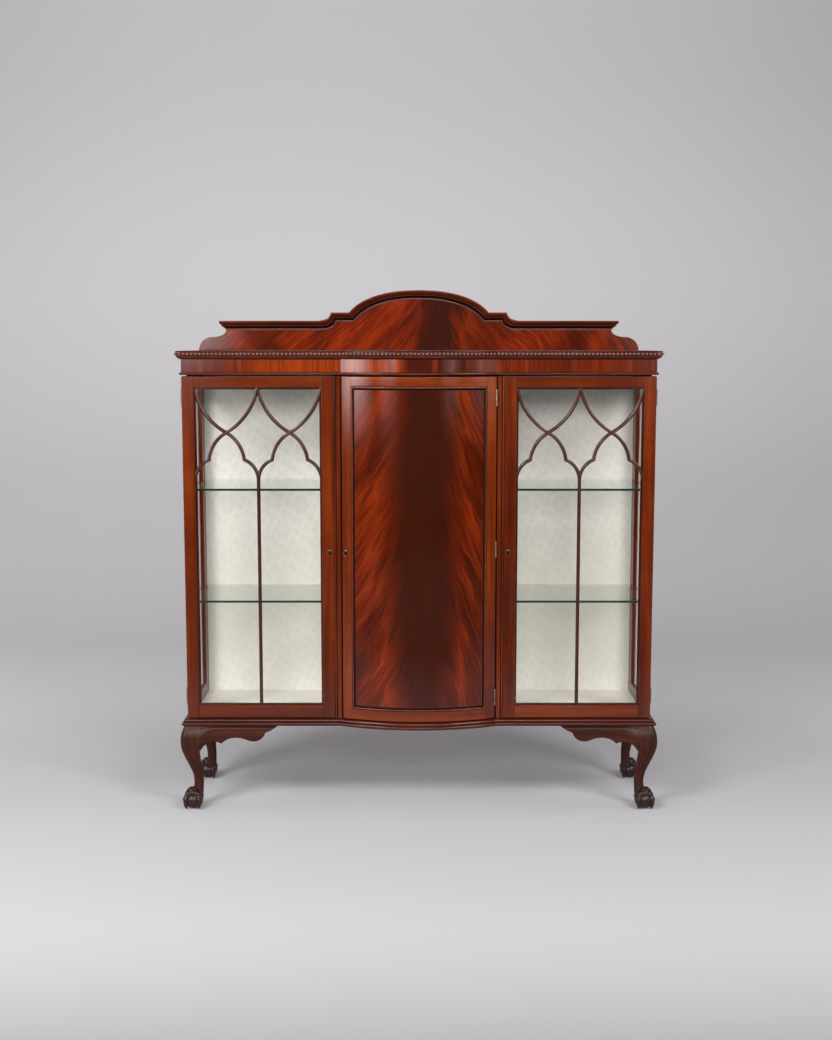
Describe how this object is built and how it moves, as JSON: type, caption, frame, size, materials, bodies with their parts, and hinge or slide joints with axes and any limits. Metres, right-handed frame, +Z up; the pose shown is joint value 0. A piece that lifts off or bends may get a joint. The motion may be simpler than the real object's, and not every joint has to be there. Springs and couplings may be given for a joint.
{
  "type": "china cabinet",
  "caption": "Bow-fronted china cabinet on cabriole legs, with a bowed cupboard door between glazed, traceried display doors, glass shelves, a moulded cornice and a shaped top board.",
  "frame": {"origin": "on the floor, at the middle of the box around the cabinet", "axes": "+Z up, the doors face -Y, +X to the right of someone facing the doors"},
  "size_m": [1.2614, 0.372, 1.374],
  "materials": {
    "mahogany": "french polished",
    "figured_veneer": "french polished",
    "flame_veneer": "french polished",
    "tracery_wood": "polished",
    "carved_wood": "polished",
    "carcass_wood": "oiled",
    "damask": "woven damask",
    "clear_glass": "polished",
    "shelf_glass": "polished edges",
    "brass": "aged",
    "steel": "dull"
  },
  "bodies": {
    "case": {"base_board": "mahogany", "carcass_top": "mahogany", "back_board": "carcass_wood", "cupboard_shelf_1": "carcass_wood", "cupboard_shelf_2": "carcass_wood", "frieze": "figured_veneer", "cornice": "mahogany", "side_frame_left": "mahogany", "side_frame_right": "mahogany", "side_glass_left": "clear_glass", "side_glass_right": "clear_glass", "partition_left": "mahogany", "partition_right": "mahogany", "lining_left": "damask", "lining_right": "damask", "glass_shelf_1_left": "shelf_glass", "glass_shelf_1_right": "shelf_glass", "glass_shelf_2_left": "shelf_glass", "glass_shelf_2_right": "shelf_glass", "hinge_1_case_leaf_left": "brass", "hinge_1_case_leaf_right": "brass", "hinge_2_case_leaf_left": "brass", "hinge_2_case_leaf_right": "brass", "hinge_1_case_leaf_centre": "brass", "hinge_2_case_leaf_centre": "brass", "hinge_3_case_leaf_centre": "brass", "leg_front_left": "carved_wood", "leg_front_right": "carved_wood", "leg_back_left": "carved_wood", "leg_back_right": "carved_wood", "apron_front_left": "carved_wood", "apron_front_right": "carved_wood", "apron_side_left": "carved_wood", "apron_side_right": "carved_wood", "pediment_board": "figured_veneer", "pediment_cap": "mahogany"},
    "door_left": {"door_frame_left": "mahogany", "door_glass_left": "clear_glass", "door_tracery_left": "tracery_wood", "keyhole_plate_left": "steel", "lock_left": "brass", "hinge_1_door_leaf_left": "brass", "hinge_2_door_leaf_left": "brass"},
    "door_right": {"door_frame_right": "mahogany", "door_glass_right": "clear_glass", "door_tracery_right": "tracery_wood", "keyhole_plate_right": "steel", "lock_right": "brass", "hinge_1_door_leaf_right": "brass", "hinge_2_door_leaf_right": "brass"},
    "door_centre": {"door_frame_centre": "mahogany", "door_panel_centre": "flame_veneer", "keyhole_plate_centre": "steel", "lock_centre": "brass", "hinge_1_door_leaf_centre": "brass", "hinge_2_door_leaf_centre": "brass", "hinge_3_door_leaf_centre": "brass"},
    "bolt_left": {"lock_bolt_left": "brass"},
    "bolt_right": {"lock_bolt_right": "brass"},
    "bolt_centre": {"lock_bolt_centre": "brass"}
  },
  "joints": [
    {"name": "door_right_hinge", "type": "hinge", "parent": "case", "child": "door_right", "pos_m": [0.613, -0.1035, 0.697], "axis": [0, 0, 1], "range_deg": [0, 105]},
    {"name": "door_left_hinge", "type": "hinge", "parent": "case", "child": "door_left", "pos_m": [-0.613, -0.1035, 0.697], "axis": [0, 0, -1], "range_deg": [0, 105]},
    {"name": "door_centre_hinge", "type": "hinge", "parent": "case", "child": "door_centre", "pos_m": [0.1995, -0.1272, 0.697], "axis": [0, 0, 1], "range_deg": [0, 100]},
    {"name": "bolt_right_slide", "type": "slide", "parent": "door_right", "child": "bolt_right", "axis": [-1, 0, 0], "range_m": [0, 0.006]},
    {"name": "bolt_left_slide", "type": "slide", "parent": "door_left", "child": "bolt_left", "axis": [1, 0, 0], "range_m": [0, 0.006]},
    {"name": "bolt_centre_slide", "type": "slide", "parent": "door_centre", "child": "bolt_centre", "axis": [-1, 0, 0], "range_m": [0, 0.006]}
  ]
}
